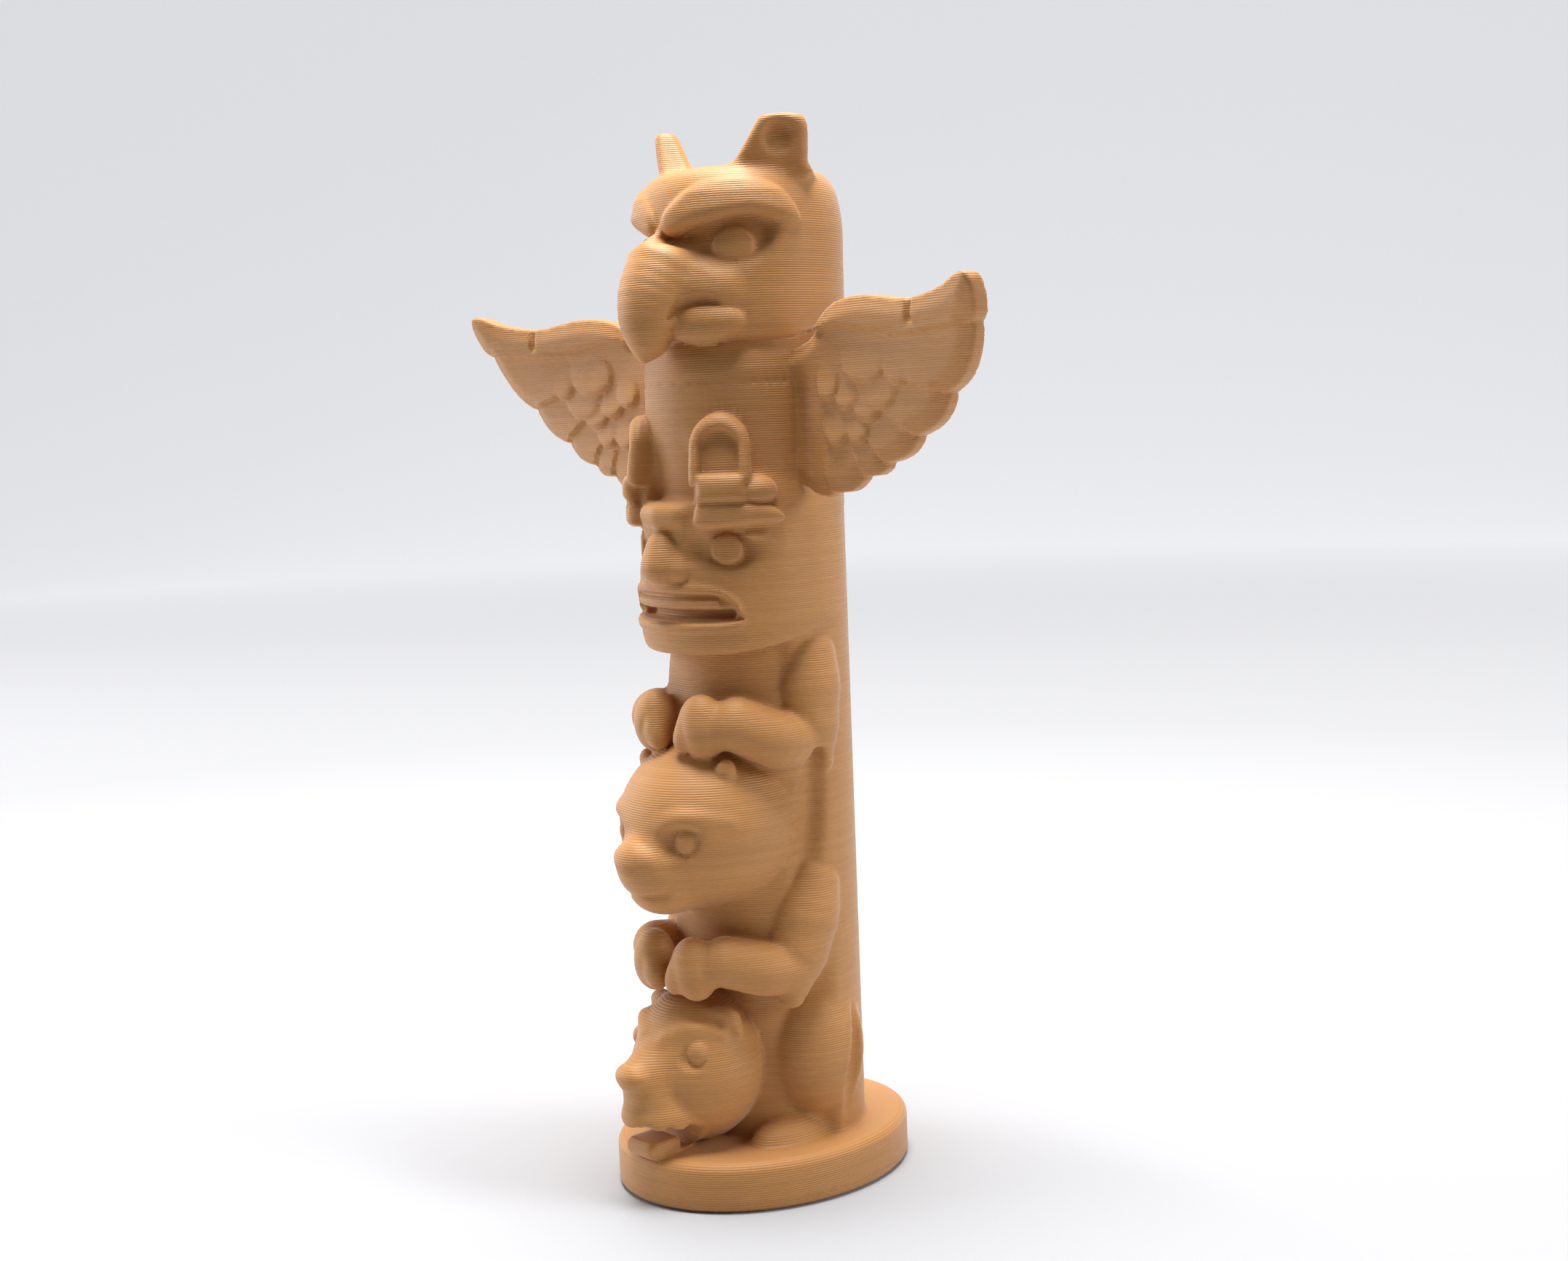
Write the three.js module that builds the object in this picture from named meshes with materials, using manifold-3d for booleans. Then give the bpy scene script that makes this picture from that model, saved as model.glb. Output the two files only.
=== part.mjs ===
// A small souvenir totem pole, printed in one piece in tan plastic.
// From the top: an eagle with spread wings, a figure in a headdress, a bear, and a small toothless head
// between the bear's knees, all on a round pole that stands on an oval base.
//
// Millimetres, +Z up. The origin is at the bottom, on the pole's axis. The figures face -Y.
// Every paired form is made on the +X side and mirrored in the plane x = 0.

import * as THREE from 'three';
import { mergeVertices } from 'three/addons/utils/BufferGeometryUtils.js';
import Module from 'manifold-3d';

// ---- Driving dimensions ----

const POLE_RADIUS = 8.9;
const CHEST_RADIUS = 8.2;         // the front of the pole, cut back behind the arms
const KNEE_RADIUS = 7;            // and more behind the small head and the knees
const KNEE_HEIGHT = 20;
const HEAD_RADIUS = 9.15;         // the eagle's head
const HEAD_CENTRE_Y = 0.35;
const CROWN_HEIGHT = 92.7;
const JAW_HEIGHT = 76.9;          // underside of the eagle's head
const COLLAR_HEIGHT = 73.7;       // groove round the eagle's neck
const BASE = { halfWidth: 12.2, halfDepth: 14.7, thickness: 4.5, centreY: -0.95, edge: 0.5 };
const FACE = { radius: 9.2, centreY: -1.1, chin: 49.6, brow: 65 };   // the middle figure's face

const WING = {
  rootX: 7.4,
  rootY: -1.3,
  rootTop: 75.6,
  rootBottom: 64.4,
  thickness: 2.0,
  feathers: 7,
  notch: 0.5,                     // how far the gap between two feather tips is cut in
  sweep: 10,                      // degrees that the top of the wing is swept forward
};

const ROUND_SIDES = 24;           // facets round the pole, the base and the two big heads

const manifoldLibrary = await Module();
manifoldLibrary.setup();

// ---- Turning geometries into solids and back ----

const smoothstep = THREE.MathUtils.smoothstep;
const lerp = THREE.MathUtils.lerp;
const radians = THREE.MathUtils.degToRad;

function solid(geometry) {
  const bare = geometry.clone();
  for (const name of Object.keys(bare.attributes)) {
    if (name !== 'position') bare.deleteAttribute(name);
  }
  const merged = mergeVertices(bare, 1e-4);
  const mesh = new manifoldLibrary.Mesh({
    numProp: 3,
    vertProperties: new Float32Array(merged.attributes.position.array),
    triVerts: new Uint32Array(merged.index.array),
  });
  return new manifoldLibrary.Manifold(mesh);
}

function geometryOf(body) {
  const mesh = body.getMesh();
  const geometry = new THREE.BufferGeometry();
  geometry.setAttribute('position', new THREE.BufferAttribute(new Float32Array(mesh.vertProperties), 3));
  geometry.setIndex(new THREE.BufferAttribute(new Uint32Array(mesh.triVerts), 1));
  return geometry;
}

function join(bodies) {
  return bodies.reduce((whole, body) => whole.add(body));
}

// The same geometry in the mirror plane x = 0, its triangles turned back to face out.
function mirrored(geometry) {
  const other = (geometry.index ? geometry : mergeVertices(geometry)).clone();
  other.scale(-1, 1, 1);
  const index = other.index.array;
  for (let i = 0; i < index.length; i += 3) {
    [index[i + 1], index[i + 2]] = [index[i + 2], index[i + 1]];
  }
  return other;
}

function pair(geometry) {
  return [solid(geometry), solid(mirrored(geometry))];
}

// ---- Shapes ----

// A point beside the pole: degrees round from the front towards +X, distance from the axis, and height.
function around(angle, radius, height) {
  return new THREE.Vector3(Math.sin(radians(angle)) * radius, -Math.cos(radians(angle)) * radius, height);
}

function deform(geometry, change) {
  const position = geometry.attributes.position;
  const point = new THREE.Vector3();
  for (let i = 0; i < position.count; i += 1) {
    point.fromBufferAttribute(position, i);
    change(point);
    position.setXYZ(i, point.x, point.y, point.z);
  }
  return geometry;
}

// An ellipsoid. halfSizes are across, outwards and up for one that faces the given angle round the pole.
function ball(centre, halfSizes, facing = 0, tilt = 0, detail = 8) {
  const geometry = new THREE.SphereGeometry(1, detail, Math.round(detail * 0.6));
  geometry.rotateX(Math.PI / 2);
  geometry.scale(halfSizes[0], halfSizes[1], halfSizes[2]);
  geometry.rotateY(radians(tilt));
  geometry.rotateZ(radians(facing));
  return geometry.translate(centre.x, centre.y, centre.z);
}

// A rounded bar that follows a smooth curve through the points, with a radius at each point.
// flat < 1 thins it in the direction that looks away from the pole's axis.
function limb(points, radii, flat = 1, sides = 6, steps = 4) {
  const curve = new THREE.CatmullRomCurve3(points);
  const geometry = new THREE.CapsuleGeometry(1, 1, 2, sides, steps);
  return deform(geometry, (point) => {
    const along = THREE.MathUtils.clamp(point.y + 0.5, 0, 1);
    const centre = curve.getPoint(along);
    const tangent = curve.getTangent(along);
    const station = along * (radii.length - 1);
    const first = Math.min(Math.floor(station), radii.length - 2);
    const radius = lerp(radii[first], radii[first + 1], station - first);
    const away = new THREE.Vector3(centre.x, centre.y, 0).normalize();
    const across = new THREE.Vector3().crossVectors(tangent, away).normalize();
    const outward = new THREE.Vector3().crossVectors(across, tangent).normalize();
    const beyond = point.y + 0.5 - along;
    const { x, z } = point;
    point.copy(centre);
    point.addScaledVector(across, x * radius);
    point.addScaledVector(outward, z * radius * flat);
    point.addScaledVector(tangent, beyond * radius);
  });
}

// A flat outline in the plane of (across, up), thick outwards, standing against the pole at an angle round it.
function plate(outline, thickness, bevel, angle, radius, height = 0) {
  const geometry = new THREE.ExtrudeGeometry(outline, {
    depth: thickness - bevel,
    bevelEnabled: bevel > 0,
    bevelThickness: bevel,
    bevelSize: bevel,
    bevelOffset: -bevel,
    bevelSegments: 1,
    curveSegments: 3,
  });
  geometry.rotateX(Math.PI / 2);
  geometry.rotateZ(radians(angle));
  const place = around(angle, radius, height);
  return geometry.translate(place.x, place.y, place.z);
}

function polygon(points) {
  return new THREE.Shape(points.map(([across, up]) => new THREE.Vector2(across, up)));
}

// ---- Base and pole ----

function base() {
  const { halfWidth, halfDepth, thickness, centreY, edge } = BASE;
  const inset = 1 - edge / halfWidth;
  const profile = [[0, 0], [inset, 0], [1, edge], [1, thickness - edge], [inset, thickness], [0, thickness]];
  const geometry = new THREE.LatheGeometry(profile.map(([r, z]) => new THREE.Vector2(r, z)), ROUND_SIDES);
  geometry.rotateX(Math.PI / 2);
  geometry.scale(halfWidth, halfDepth, 1);
  return [solid(geometry.translate(0, centreY, 0))];
}

// The pole is round at the back. In front it is cut back from just above the base up to the chin of the
// middle figure.
function pole() {
  const shoulder = COLLAR_HEIGHT + 0.2;
  const profile = [
    [0, 1], [POLE_RADIUS, 1], [POLE_RADIUS, KNEE_HEIGHT - 2], [POLE_RADIUS, KNEE_HEIGHT + 2],
    [POLE_RADIUS, FACE.chin - 1], [POLE_RADIUS, FACE.chin + 3], [POLE_RADIUS, COLLAR_HEIGHT],
    [POLE_RADIUS + 0.3, shoulder], [POLE_RADIUS + 0.3, JAW_HEIGHT - 1.2],
    [POLE_RADIUS - 0.6, JAW_HEIGHT + 1], [0, JAW_HEIGHT + 1],
  ];
  const geometry = new THREE.LatheGeometry(profile.map(([r, z]) => new THREE.Vector2(r, z)), ROUND_SIDES);
  geometry.rotateX(Math.PI / 2);
  deform(geometry, (point) => {
    const front = point.z < FACE.chin ? smoothstep(-point.y, -1, 2.5) : 0;
    const radius = point.z < KNEE_HEIGHT ? KNEE_RADIUS : CHEST_RADIUS;
    const keep = lerp(1, radius / POLE_RADIUS, front);
    point.x *= keep;
    point.y *= keep;
  });
  return [solid(geometry)];
}

// ---- Eagle ----

function eagleHead() {
  const profile = [
    [0, JAW_HEIGHT], [HEAD_RADIUS - 0.9, JAW_HEIGHT], [HEAD_RADIUS - 0.1, JAW_HEIGHT + 0.8],
    [HEAD_RADIUS, 87.6], [8.8, 89.8], [7.7, 91.4], [5.2, 92.4], [0, CROWN_HEIGHT],
  ];
  const geometry = new THREE.LatheGeometry(profile.map(([r, z]) => new THREE.Vector2(r, z)), ROUND_SIDES);
  geometry.rotateX(Math.PI / 2);
  return solid(geometry.translate(0, HEAD_CENTRE_Y, 0));
}

function eagle() {
  const socket = ball(around(47, 9.5, 85.5), [4.7, 1.5, 2], 47, 4, 8);
  const eye = ball(around(47, 7.7, 85.2), [1.6, 1.5, 1.5], 47);
  const brow = limb(
    [around(8, 9.1, 87.5), around(30, 8.2, 88.9), around(58, 7.9, 89.2), around(82, 8.4, 88)],
    [1.1, 1.6, 1.5, 0.5], 0.9,
  );
  const beak = limb(
    [
      new THREE.Vector3(0, -7, 82.8), new THREE.Vector3(0, -9.7, 81.8),
      new THREE.Vector3(0, -10.7, 79.2), new THREE.Vector3(0, -11.4, 76.3),
    ],
    [4, 3.3, 2.8, 0.8], 1, 10, 5,
  );
  const cheek = ball(around(26, 7.2, 80.4), [3.9, 2.3, 3.6], 26);
  const lip = limb([around(14, 9.6, 78.9), around(30, 9, 79.5), around(44, 8.5, 78.9)], [0.7, 0.95, 0.5], 0.8, 6, 3);

  const ear = plate(
    polygon([[0, 91], [7.4, 91], [7, 95.4], [6.3, 96.7], [3.9, 96.9], [3, 96.3], [1.7, 93.9]]), 2.6, 0.5, 45, 4.3,
  );
  const earRecess = ball(new THREE.Vector3(8.3, -1.5, 93.8), [1.5, 0.9, 2.2], 45, 8);
  const head = eagleHead().subtract(join(pair(socket)));
  const ears = join(pair(ear)).subtract(join(pair(earRecess)));
  return [head, ears, solid(beak), ...[eye, brow, cheek, lip].flatMap(pair)];
}

// ---- Wings ----

// The wing is a fan. v runs from 0 on the leading edge to 1 on the lowest feather, and u from 0 at the root
// to 1 at the feathers' tips. Both curves are in the wing's own plane, across and up.
const LEADING_EDGE = new THREE.SplineCurve([
  new THREE.Vector2(WING.rootX, WING.rootTop), new THREE.Vector2(12, 76.2), new THREE.Vector2(16.5, 79.5),
  new THREE.Vector2(21, 80), new THREE.Vector2(25.6, 79.4), new THREE.Vector2(30.2, 80.1),
  new THREE.Vector2(34.4, 81.1),
]);
const FEATHER_TIPS = new THREE.SplineCurve([
  new THREE.Vector2(34.4, 81.1), new THREE.Vector2(32.9, 77.3), new THREE.Vector2(30.6, 73.8),
  new THREE.Vector2(26.8, 69.9), new THREE.Vector2(22.2, 66.8), new THREE.Vector2(17.4, 64.7),
  new THREE.Vector2(13, 63.5), new THREE.Vector2(9.2, 64),
]);

function wingPoint(u, v) {
  const root = new THREE.Vector2(WING.rootX, lerp(WING.rootTop, WING.rootBottom, v));
  const point = root.lerp(FEATHER_TIPS.getPoint(v), u);
  const straight = LEADING_EDGE.getPoint(0).lerp(LEADING_EDGE.getPoint(1), u);
  const bow = LEADING_EDGE.getPoint(u).sub(straight);
  return point.addScaledVector(bow, Math.pow(1 - v, 3));
}

// Sweeps the flat wing forward, more at the top than at the bottom.
function sweep(point) {
  const rise = Math.max(0, (point.z - WING.rootBottom) / (81 - WING.rootBottom));
  const angle = radians(WING.sweep) * Math.pow(rise, 1.5);
  const reach = Math.max(0, point.x - POLE_RADIUS);
  point.x += reach * (Math.cos(angle) - 1) + point.y * Math.sin(angle);
  point.y += WING.rootY - reach * Math.sin(angle);
}

function wing() {
  const rows = WING.feathers * 2;
  const half = WING.thickness / 2;
  const geometry = new THREE.BoxGeometry(1, 1, 1, 5, 1, rows);
  deform(geometry, (point) => {
    const u = point.x + 0.5;
    const v = 0.5 - point.z;
    const row = Math.round(v * rows);
    const betweenFeathers = row % 2 === 0 && row > 0 && row < rows;
    const reach = betweenFeathers ? 1 - WING.notch / 20 : 1;
    const place = wingPoint(u * reach, v);
    const groove = betweenFeathers && u > 0.5 ? 0.3 : 0;
    const edge = u > 0.99 ? 0.45 : 0;
    const band = row < 2 ? 0.35 : 0;
    point.set(place.x, point.y < 0 ? groove + edge - band - half : half - edge, place.y);
  });
  const coverts = [
    [12.6, 75, 1.6], [17, 75, 1.9], [21.5, 74.5, 1.7],
    [12.4, 72.2, 1.7], [15.3, 72, 1.6], [17.8, 71.1, 1.5], [20.1, 72.3, 1.6],
    [13, 69, 1.8], [16, 68.8, 1.5],
  ];
  const lobes = coverts.map(([x, z, radius]) => (
    ball(new THREE.Vector3(x, -half, z), [radius, 0.75, radius], 0, 0, 6)
  ));
  return [geometry, ...lobes].map((shape) => deform(shape, sweep)).flatMap(pair);
}

// ---- Figure with the headdress ----

function headdressArch(halfWidth, height) {
  const outline = new THREE.Shape();
  outline.moveTo(-halfWidth, 0);
  outline.lineTo(halfWidth, 0);
  outline.lineTo(halfWidth, height - halfWidth);
  outline.absarc(0, height - halfWidth, halfWidth, 0, Math.PI, false);
  return outline;
}

function faceShell() {
  const { radius, chin, brow, centreY } = FACE;
  const profile = [
    [0, chin], [radius - 1.6, chin], [radius - 0.4, chin + 0.9], [radius, chin + 3],
    [radius, brow - 2], [radius - 1.2, brow], [0, brow],
  ];
  const geometry = new THREE.LatheGeometry(profile.map(([r, z]) => new THREE.Vector2(r, z)), ROUND_SIDES);
  geometry.rotateX(Math.PI / 2);
  geometry.translate(0, centreY, 0);
  deform(geometry, (point) => {
    if (point.z < chin + 1) point.z += 1.6 * smoothstep(point.y, -10, 3);
  });
  return solid(geometry);
}

// A bar round the face at the given height in the middle and at its ends.
function faceArc(halfAngle, radius, middleHeight, endHeight, thickness) {
  const points = [-1, -0.5, 0, 0.5, 1].map((side) => {
    const place = around(side * halfAngle, radius, lerp(middleHeight, endHeight, side * side));
    return place.add(new THREE.Vector3(0, FACE.centreY * Math.cos(radians(side * halfAngle)), 0));
  });
  return limb(points, [thickness * 0.6, thickness, thickness, thickness, thickness * 0.6], 1, 4, 6);
}

function headdressFigure() {
  const arch = plate(headdressArch(2.75, 6), 1.3, 0.3, 37, 8.2, 64.7);
  const panel = plate(headdressArch(1.7, 4.6), 1, 0, 37, 9.1, 64.9);
  const arches = join(pair(arch)).subtract(join(pair(panel)));

  const band = limb([around(20, 9.5, 63.6), around(36, 9.4, 63.8), around(54, 9, 63.9)], [1.5, 1.6, 1.3], 0.9);
  const brow = limb(
    [around(14, 10, 61.4), around(32, 9.7, 61.6), around(52, 9, 61.6), around(70, 8.5, 61.4)],
    [1.2, 1.2, 1.1, 0.5], 0.8,
  );
  const bridge = ball(around(0, 8.6, 62), [2.8, 1.7, 1.7]);
  const socket = ball(around(42, 10.6, 58.6), [3.5, 1.3, 1.6], 42);
  const eye = ball(around(39, 8.8, 58.7), [1.4, 1.2, 1.2], 39);
  const nose = limb([around(0, 9.6, 60.6), around(0, 10.7, 57.9)], [1.3, 2.1], 1, 8, 2);
  const nostril = ball(around(14, 10.4, 57.1), [1.3, 1.3, 1], 14, 0, 6);

  const opening = faceArc(44, 9.6, 53.4, 52.8, 1.35);
  const upperLip = faceArc(46, 9, 55, 53.4, 0.7);
  const lowerLip = faceArc(46, 9, 51.6, 52.3, 0.7);
  const face = faceShell().subtract(join([...pair(socket), solid(opening)]));

  const arm = limb([around(98, 6.5, 50.6), around(95, 6.7, 45.5), around(86, 7, 41.4)], [2.7, 2.9, 3], 1, 8, 2);
  const forearm = limb([around(84, 7, 41), around(60, 8.6, 41.7), around(34, 9.4, 43.3)], [2.8, 2.6, 2.5], 1, 8, 3);
  const paw = ball(new THREE.Vector3(3.2, -9.2, 43.4), [2.4, 2.2, 3], 20);
  return [face, arches, ...[bridge, nose, upperLip, lowerLip].map(solid),
    ...[band, brow, eye, nostril, arm, forearm, paw].flatMap(pair)];
}

// ---- Bear ----

function bear() {
  const skull = ball(new THREE.Vector3(0, -5.3, 33.2), [8.4, 8.5, 7.8], 0, 0, 14);
  const muzzle = limb(
    [new THREE.Vector3(0, -8.5, 31.2), new THREE.Vector3(0, -12.8, 30.2), new THREE.Vector3(0, -15.3, 30.3)],
    [5, 3.7, 2], 1, 10, 3,
  );
  const chin = ball(new THREE.Vector3(0, -11.6, 27.6), [2.4, 2.4, 1.8]);
  const socket = ball(new THREE.Vector3(4.1, -12.4, 33.4), [1.9, 1.2, 1.1], 30);
  const eye = ball(new THREE.Vector3(4, -11.2, 33.3), [1, 0.9, 0.9], 30, 0, 7);
  const ear = ball(new THREE.Vector3(5, -6.6, 39.6), [1.1, 0.8, 1], 30, 0, 6);
  const head = solid(skull).subtract(join(pair(socket)));

  const arm = limb([around(99, 6.6, 28.8), around(91, 6.9, 24.5), around(74, 7.2, 20.6)], [2.7, 2.9, 2.8], 1, 8, 2);
  const forearm = limb([around(72, 7.2, 20.3), around(46, 9.2, 20.8), around(25, 10.8, 21.9)], [2.7, 2.4, 2.3], 1, 8, 3);
  const paw = ball(new THREE.Vector3(2.8, -11.8, 21.4), [2.1, 2.1, 2.9], 16);
  const thigh = ball(new THREE.Vector3(5.9, 0.7, 12), [4, 4.7, 6.9], 0, 0, 10);
  const foot = ball(new THREE.Vector3(6.2, -2.9, 4.8), [2.4, 4.5, 1.9]);
  return [head, solid(muzzle), solid(chin),
    ...[eye, ear, arm, forearm, paw, thigh, foot].flatMap(pair)];
}

// ---- Small head between the knees ----

function smallHead() {
  const skull = ball(new THREE.Vector3(0, -8.7, 11.6), [6.1, 6.1, 7.1], 0, 0, 14);
  const snout = limb(
    [new THREE.Vector3(0, -11, 12), new THREE.Vector3(0, -14.6, 11.6), new THREE.Vector3(0, -16.4, 11.2)],
    [3.6, 2.7, 1.8], 1, 10, 3,
  );
  const jaws = ball(new THREE.Vector3(0, -12.6, 7.8), [3.9, 5.2, 3.5], 0, 0, 8);
  const mouth = new THREE.BoxGeometry(6.2, 8, 2.2).translate(0, -16.4, 7.4);
  const brow = limb(
    [new THREE.Vector3(1.3, -13.8, 14.8), new THREE.Vector3(3.6, -12.8, 15.8), new THREE.Vector3(5.2, -10.9, 15.1)],
    [0.7, 0.9, 0.5], 1, 5, 3,
  );
  const eye = ball(new THREE.Vector3(3.3, -12.9, 13.5), [1.1, 0.9, 0.9], 25, 0, 7);
  const ear = limb(
    [new THREE.Vector3(3.6, -9.6, 17.2), new THREE.Vector3(5.2, -7.9, 16.8), new THREE.Vector3(5.9, -7, 14.8)],
    [0.9, 1, 0.6], 1, 5, 3,
  );
  const head = join([skull, snout, jaws].map(solid)).subtract(solid(mouth));
  return [head, ...[brow, eye, ear].flatMap(pair)];
}

// ---- The whole pole ----

const plastic = new THREE.MeshStandardMaterial({ color: 0xc0905c, roughness: 0.55, metalness: 0 });

const body = join([
  ...base(), ...pole(), ...eagle(), ...wing(), ...headdressFigure(), ...bear(), ...smallHead(),
]);

const totemPole = new THREE.Mesh(geometryOf(body), plastic);
totemPole.name = 'totem_pole';

const group = new THREE.Group();
group.add(totemPole);

export default group;
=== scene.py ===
"""A small souvenir totem pole, printed in one piece in matte tan plastic.

The pole is one closed surface. Its solid is described by the distance of a point from it, put together
from rounded forms, and the surface is drawn where that distance is nought. Lengths of forms are in
millimetres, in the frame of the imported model: +Z up, the figures face -Y, the pole's axis is x = y = 0.
Every form is given for x >= 0 and counts for both sides.
"""

import bpy
import numpy as np
from mathutils import Matrix, Vector


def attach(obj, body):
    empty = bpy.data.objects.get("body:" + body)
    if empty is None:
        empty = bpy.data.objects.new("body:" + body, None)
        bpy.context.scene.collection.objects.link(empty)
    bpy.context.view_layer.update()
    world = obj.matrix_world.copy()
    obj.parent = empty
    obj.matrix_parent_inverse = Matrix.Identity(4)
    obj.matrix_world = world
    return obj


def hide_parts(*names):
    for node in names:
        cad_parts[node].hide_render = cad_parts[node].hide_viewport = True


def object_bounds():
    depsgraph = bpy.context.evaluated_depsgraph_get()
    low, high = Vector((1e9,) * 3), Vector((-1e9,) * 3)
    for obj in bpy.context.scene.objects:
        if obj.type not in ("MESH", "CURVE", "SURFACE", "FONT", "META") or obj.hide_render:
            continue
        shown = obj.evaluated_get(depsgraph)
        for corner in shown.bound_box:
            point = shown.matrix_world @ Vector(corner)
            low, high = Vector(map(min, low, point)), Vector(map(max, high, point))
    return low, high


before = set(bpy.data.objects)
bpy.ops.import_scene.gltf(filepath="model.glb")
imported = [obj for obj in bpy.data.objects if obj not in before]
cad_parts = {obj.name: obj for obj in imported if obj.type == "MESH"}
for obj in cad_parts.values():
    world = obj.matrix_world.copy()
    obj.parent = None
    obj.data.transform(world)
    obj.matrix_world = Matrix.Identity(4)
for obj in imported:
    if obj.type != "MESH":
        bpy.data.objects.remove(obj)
cad_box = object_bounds()

MM = 0.001

# ---- Driving dimensions, in millimetres ----

CELL = 0.31                 # spacing of the grid that the surface is drawn on
BLOCK = 4                   # cells along a side of the blocks that the grid is searched in
REACH = 3.5                 # a form is only worked out this near to its own box
FAR = 50.0                  # distance given to a point that is near no form
OPEN = 11.0                 # a form with a larger outer radius is a cut that is open outwards
GRID_LOW = np.array([0.0, -19.2, -1.1])     # corners of the grid, which covers the half with x >= 0
GRID_HIGH = np.array([35.4, 15.4, 98.4])
MOST_TRIANGLES = 196000     # in the finished mesh
POLE_RADIUS = 8.9
CHEST_RADIUS = 8.2
KNEE_RADIUS = 7.0
KNEE_HEIGHT = 20.0
POLE_FOOT = 1.0             # the pole starts inside the base
BASE_HALF_WIDTH = 12.2
BASE_HALF_LENGTH = 14.7     # from front to back
BASE_HEIGHT = 4.5
BASE_Y = -0.95              # its middle is a little forward of the pole's axis
BASE_EDGE = 0.9             # rounding of its upper edge
BASE_BEVEL = 0.45           # of its lower edge
FACE_Y = -1.1               # the middle figure's face is forward of the pole's axis
CHIN = 49.6                 # height of the middle figure's chin
HEAD_Y = 0.35               # the eagle's head is a little behind the pole's axis
JAW = 76.9                  # height of the eagle's jaw
COLLAR = 73.3               # height of the groove round the eagle's neck
LAYER = 0.2                 # height of a printed layer


# ---- Curves and small helpers ----

def around(angle, radius, height, centre_y=0.0):
    """A point beside the pole: degrees round from the front towards +X, distance from the axis, height."""
    turn = np.radians(angle)
    return np.array([np.sin(turn) * radius, centre_y - np.cos(turn) * radius, height])


def smoothstep(value, low, high):
    t = np.clip((value - low) / (high - low), 0.0, 1.0)
    return t * t * (3.0 - 2.0 * t)


def curve(points, count, closed=False):
    """Points evenly along a Catmull-Rom curve c(t) = sum of p_i w_i(t) through the given points."""
    points = np.asarray(points, float)
    if closed:
        padded = np.vstack([points[-1:], points, points[:2]])
        t = np.linspace(0.0, len(points), count, endpoint=False)
    else:
        first, last = 2 * points[0] - points[1], 2 * points[-1] - points[-2]
        padded = np.vstack([first, points, last])
        t = np.linspace(0.0, len(points) - 1.0, count)
    i = np.minimum(t.astype(int), len(padded) - 4)
    t = (t - i)[:, None]
    a, b, c, d = (padded[i + k] for k in range(4))
    return 0.5 * (2 * b + (c - a) * t + (2 * a - 5 * b + 4 * c - d) * t**2 + (3 * b - a - 3 * c + d) * t**3)


def outline_distance(u, v, outline):
    """Signed distance of the points (u, v) from a closed outline, below nought inside it."""
    nearest = np.full(u.shape, np.inf)
    inside = np.zeros(u.shape, bool)
    for a, b in zip(outline, np.roll(outline, -1, axis=0)):
        side = b - a
        du, dv = u - a[0], v - a[1]
        t = np.clip((du * side[0] + dv * side[1]) / (side @ side), 0.0, 1.0)
        nearest = np.minimum(nearest, (du - side[0] * t)**2 + (dv - side[1] * t)**2)
        if side[1] != 0.0:
            inside ^= ((a[1] > v) != (b[1] > v)) & (du < side[0] * dv / side[1])
    return np.where(inside, -1.0, 1.0) * np.sqrt(nearest)


def prism_distance(flat, across, rounding):
    """Distance from a prism, from the distances from its outline and from its two end planes."""
    a, b = flat + rounding, across + rounding
    return np.minimum(np.maximum(a, b), 0.0) + np.hypot(np.maximum(a, 0.0), np.maximum(b, 0.0)) - rounding


def soft_min(a, b, width):
    """min(a, b) with its corner filled by a curve: min - h^2 / 4w, where h = max(w - |a - b|, 0)."""
    if width <= 0.0:
        return np.minimum(a, b)
    h = np.maximum(width - np.abs(a - b), 0.0)
    return np.minimum(a, b) - h * h / (4.0 * width)


# ---- Forms: each is (distance function, lowest corner, highest corner) ----

def ellipsoid(centre, half, facing=0.0, tilt=0.0):
    """k0 (k0 - 1) / k1, with k0 = |q / half| and k1 = |q / half^2|. half is across, outwards and up."""
    centre, half = np.asarray(centre, float), np.asarray(half, float)
    f, t = np.radians(facing), np.radians(tilt)
    turn_z = np.array([[np.cos(f), -np.sin(f), 0], [np.sin(f), np.cos(f), 0], [0, 0, 1]])
    turn_y = np.array([[np.cos(t), 0, np.sin(t)], [0, 1, 0], [-np.sin(t), 0, np.cos(t)]])
    turn = turn_z @ turn_y

    def distance(p):
        q = (p - centre) @ turn
        k0 = np.sqrt(((q / half)**2).sum(1))
        k1 = np.sqrt(((q / half**2)**2).sum(1))
        return k0 * (k0 - 1.0) / np.maximum(k1, 1e-6)
    reach = np.sqrt(((turn * half)**2).sum(1))
    return distance, centre - reach, centre + reach


def limb(points, radii, samples=12):
    """A rounded bar: distance from a curve through the points, less a radius that changes along it."""
    line = curve(points, samples)
    radius = np.interp(np.linspace(0, 1, samples), np.linspace(0, 1, len(radii)), radii)

    def distance(p):
        best = np.full(len(p), np.inf)
        for a, b, ra, rb in zip(line[:-1], line[1:], radius[:-1], radius[1:]):
            side, q = b - a, p - a
            t = np.clip(q @ side / (side @ side), 0.0, 1.0)
            off = q - t[:, None] * side
            best = np.minimum(best, np.sqrt((off**2).sum(1)) - (ra + (rb - ra) * t))
        return best
    return distance, line.min(0) - radius.max(), line.max(0) + radius.max()


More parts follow.
